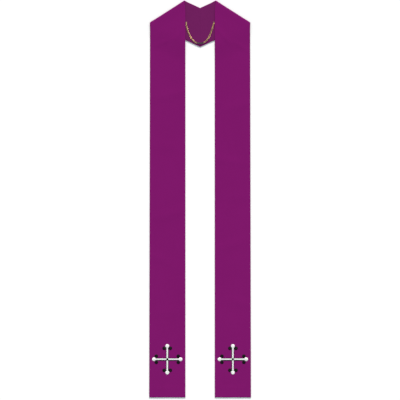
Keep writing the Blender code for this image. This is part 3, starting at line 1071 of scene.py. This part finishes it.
class StoleChain(bpy.types.PropertyGroup):
    """Links and colours of the neck chain."""

    gilt: colour_property("Gilt", "Colour of the gilt wire", (0.66, 0.455, 0.245))
    # The colour and the width of the painted shade in the middle of the chain.
    worn: colour_property("Worn", "Colour of the wire where the gilt is worn off", (0.10, 0.085, 0.08))
    worn_length: length_property("Worn length", "Width of the worn middle of the chain", 24.0 * MM)
    wire: length_property("Wire", "Diameter of the wire", 1.2 * MM)
    link_width: length_property("Link width", "Outside width of a link", 5.0 * MM)
    link_length: length_property("Link length", "Outside length of a link", 6.2 * MM)
    twist: angle_property("Twist", "How far each end of a link is turned", 42)
    height: length_property("Height", "Height of the chain's middle line over the floor", 4.2 * MM)


class StoleStage(bpy.types.PropertyGroup):
    """Floor, light and camera."""

    floor: colour_property("Floor", "Colour of the floor", (0.86, 0.85, 0.85))
    floor_size: length_property("Floor size", "Width of the floor", 60.0)
    fill: FloatProperty(name="Fill", description="Strength of the light from all round", default=0.70)
    key: FloatProperty(name="Key", description="Strength of the key light", default=4.2)
    key_elevation: angle_property("Key elevation", "Height of the key light over the floor", 26)
    camera_height: length_property("Camera height", "Height of the camera over the floor", 6.0)
    view_width: length_property("View width", "Width that the camera sees at the floor", 1403 * MM)


# --- Operators ---


class STOLE_OT_stage(bpy.types.Operator):
    """Makes the floor, the lights and the camera that looks straight down"""

    bl_idname = "stole.stage"
    bl_label = "Stage"

    def execute(self, context):
        look = context.scene.stole_stage
        bm = bmesh.new()
        bmesh.ops.create_grid(bm, x_segments=8, y_segments=8, size=look.floor_size / 2)
        bmesh.ops.translate(bm, verts=bm.verts, vec=(0.0, 0.0, -FLOOR_DROP))
        mesh = mesh_from(bm, "floor")
        mesh.materials.append(finish_of("white_board"))
        floor = add_to_scene("floor", mesh)

        sun = bpy.data.lights.new("key_light", "SUN")
        sun.energy = look.key
        sun.angle = KEY_SOFTNESS
        sun.color = KEY_COLOUR
        key = add_to_scene("key_light", sun)
        key.rotation_euler = (look.key_elevation - math.pi / 2, 0.0, KEY_TURN)

        world = bpy.data.worlds.new("soft_fill")
        world.use_nodes = True
        background = world.node_tree.nodes["Background"]
        background.inputs["Color"].default_value = FILL_COLOUR
        background.inputs["Strength"].default_value = look.fill
        context.scene.world = world

        lens = bpy.data.cameras.new("camera")
        lens.type = "PERSP"
        lens.lens = lens.sensor_width * look.camera_height / look.view_width
        lens.clip_start, lens.clip_end = 0.1, 100.0
        camera = add_to_scene("camera", lens)
        camera.location = (*CAMERA_SPOT, look.camera_height)
        context.scene.camera = camera
        context.scene.view_settings.view_transform = "Standard"
        return {"FINISHED"}


def link_template(look):
    """One link about the origin: a ring of wire that is drawn out along X and twisted along its length."""
    bm = bmesh.new()
    wire_ring(bm, (look.link_width - look.wire) / 2, look.wire / 2, LINK_STEPS)
    stretch = (look.link_length - look.link_width) / 2
    for vert in bm.verts:
        if not near(vert.co.x, 0.0):
            vert.co.x += math.copysign(stretch, vert.co.x)
        twist = look.twist * vert.co.x / (look.link_length / 2)
        vert.co.rotate(Matrix.Rotation(twist, 3, "X"))
    return mesh_from(bm, "link_template")


class STOLE_OT_chain(bpy.types.Operator):
    """Makes the neck chain of flat curb links, loose on the lining"""

    bl_idname = "stole.chain"
    bl_label = "Neck Chain"

    def execute(self, context):
        look = context.scene.stole_chain
        template = link_template(look)
        route = [(x * MM, SHOULDER_POINT - below * MM, look.height) for x, below in CHAIN_ROUTE]
        line = smooth_route(route, ROUTE_STEP)
        inside = look.link_length - 2 * look.wire
        reach = (look.link_length / 2 - look.wire) * END_LINK_REACH
        reached = distances_along(line)
        length = reached[-1]
        count = round((length - 2 * reach) / (inside * LINK_CLOSENESS)) + 1
        places = spaced_along(line, reached, count, reach)
        dice = random.Random(CHAIN_SEED)
        bm = bmesh.new()
        for place, heading in places:
            start = len(bm.verts)
            bm.from_mesh(template)
            bm.verts.ensure_lookup_table()
            turn = heading.to_2d().angle_signed(Vector((1.0, 0.0)))
            tilt = math.radians(dice.uniform(-LINK_TILT, LINK_TILT))
            turned = Matrix.Rotation(turn, 4, "Z") @ Matrix.Rotation(tilt, 4, "X")
            bmesh.ops.transform(bm, matrix=Matrix.Translation(place) @ turned, verts=bm.verts[start:])
        chain = finish_piece(bm, "neck_chain_links", "gilt_wire", ["neck_chain"])
        return {"FINISHED"}


class STOLE_OT_rings(bpy.types.Operator):
    """Makes the jump ring at each end of the chain, and the stitches that tack it to the neck"""

    bl_idname = "stole.rings"
    bl_label = "Jump Rings"

    def execute(self, context):
        middle = (ring_low + ring_high) / 2
        bend = (ring_high.x - ring_low.x) / 2 - RING_WIRE_RADIUS
        template = thread_template()
        for label, side in SIDES:
            bm = bmesh.new()
            wire_ring(bm, bend, RING_WIRE_RADIUS, RING_STEPS)
            centre = Vector((side * middle.x, middle.y, middle.z + RING_LIFT))
            bmesh.ops.translate(bm, verts=bm.verts, vec=centre)
            finish_piece(bm, f"jump_ring_{label}", "gilt_wire", [f"chain_ring_{label}"])
            bm = new_thread_mesh()
            low, high = STRIP_THICKNESS - TACK_DIVE, centre.z + TACK_RISE

            def height(share):
                return low + (high - low) * arch(share, TACK_SHARPNESS)

            for number in range(TACKS):
                turn = math.pi / 2 + (number - (TACKS - 1) / 2) * TACK_SPREAD - side * TACK_LEAN
                heading = Vector((math.cos(turn), math.sin(turn)))
                start, end = (centre.to_2d() + heading * (bend + off) for off in TACK_ENDS)
                add_stitch(bm, template, start, end, TACK_THREAD, height)
            finish_piece(bm, f"ring_tacks_{label}", "purple_sewing_thread")
        return {"FINISHED"}


CLOTHS = (
    ("face", model_face_cloth, settle_face, "purple_weave"),
    ("lining", model_lining, settle_lining, "plum_twill"),
)


class STOLE_OT_cloth(bpy.types.Operator):
    """Makes the face cloth of both halves, turned in at the edges, and the lining just inside them"""

    bl_idname = "stole.cloth"
    bl_label = "Face Cloth and Lining"

    def execute(self, context):
        for cloth, model, settle, finish in CLOTHS:
            for label, side in SIDES:
                bm = bmesh.new()
                model(bm)
                map_cut(bm)
                lay_out(bm, label, side, settle)
                name = f"{cloth}_cloth"
                piece = finish_piece(bm, f"{name}_{label}", finish, [f"{cloth}_{label}"])
        return {"FINISHED"}


class STOLE_OT_felling(bpy.types.Operator):
    """Makes the small slanted stitches that hold the lining to the turned edges"""

    bl_idname = "stole.felling"
    bl_label = "Felling Stitches"

    def execute(self, context):
        pitch = context.scene.stole_cloth.felling_pitch
        template = thread_template(sides=4, steps=4)
        line = EDGE_TURN + LINING_GAP / 2
        hem_line = CUT.length - HEM_TURN - LINING_GAP / 2
        for label, side in SIDES:
            dice = random.Random(FELLING_SEED + side)

            def steps(run):
                """Distances along a run, a pitch apart, each a little out of place."""
                for number in range(int(run / pitch)):
                    yield (number + FELLING_START) * pitch + dice.uniform(-FELLING_STRAY, FELLING_STRAY)

            spots = []
            for edge, inward in ((line, 1), (NECK_WIDTH - line, -1)):
                half = Vector((inward * FELLING_REACH, FELLING_SLANT))
                spots += [(Vector((edge, along)), half) for along in steps(hem_line)]
            half = Vector((FELLING_SLANT, -FELLING_REACH))
            spots += [(Vector((line + across, hem_line)), half) for across in steps(NECK_WIDTH - 2 * line)]
            bm = new_thread_mesh()
            for middle, half in spots:
                add_felling(bm, template, label, side, middle, half)
            if side < 0:
                bmesh.ops.reverse_faces(bm, faces=bm.faces)
            finish_piece(bm, f"felling_stitches_{label}", "purple_sewing_thread")
        return {"FINISHED"}


class STOLE_OT_crosses(bpy.types.Operator):
    """Embroiders the two budded crosses in satin stitch, white with black borders and buds"""

    bl_idname = "stole.crosses"
    bl_label = "Crosses"

    def execute(self, context):
        look = context.scene.stole_crosses
        for label, side in SIDES:
            white, black = cross_stitches(look, random.Random(CROSS_SEED + side))
            buds = [f"cross_{label}_bud_{number}" for number in BUDS]
            for colour, stitches, replaced in (("white", white, [f"cross_{label}"]), ("black", black, buds)):
                bm = new_thread_mesh()
                embroider(bm, label, side, stitches, look)
                finish_piece(bm, f"cross_{label}_{colour}", f"{colour}_rayon", replaced)
        return {"FINISHED"}


class STOLE_PT_pieces(bpy.types.Panel):
    """Lists the pieces of the stole"""

    bl_idname = "STOLE_PT_pieces"
    bl_label = "Clerical Stole"
    bl_space_type = "VIEW_3D"
    bl_region_type = "UI"
    bl_category = "Stole"

    def draw(self, context):
        for making in MAKING:
            self.layout.operator(making.bl_idname)


MAKING = (
    STOLE_OT_stage,
    STOLE_OT_chain,
    STOLE_OT_rings,
    STOLE_OT_cloth,
    STOLE_OT_felling,
    STOLE_OT_crosses,
)
SETTINGS = {
    "stole_cloth": StoleCloth,
    "stole_crosses": StoleCrosses,
    "stole_chain": StoleChain,
    "stole_stage": StoleStage,
}


def register():
    for name, group in SETTINGS.items():
        bpy.utils.register_class(group)
        setattr(bpy.types.Scene, name, PointerProperty(type=group))
    for making in (*MAKING, STOLE_PT_pieces):
        bpy.utils.register_class(making)


def unregister():
    for making in reversed((*MAKING, STOLE_PT_pieces)):
        bpy.utils.unregister_class(making)
    for name, group in reversed(SETTINGS.items()):
        delattr(bpy.types.Scene, name)
        bpy.utils.unregister_class(group)


def main():
    register()
    bpy.ops.stole.stage()
    bpy.ops.stole.chain()
    bpy.ops.stole.rings()
    bpy.ops.stole.cloth()
    bpy.ops.stole.felling()
    bpy.ops.stole.crosses()


if __name__ == "__main__":
    main()
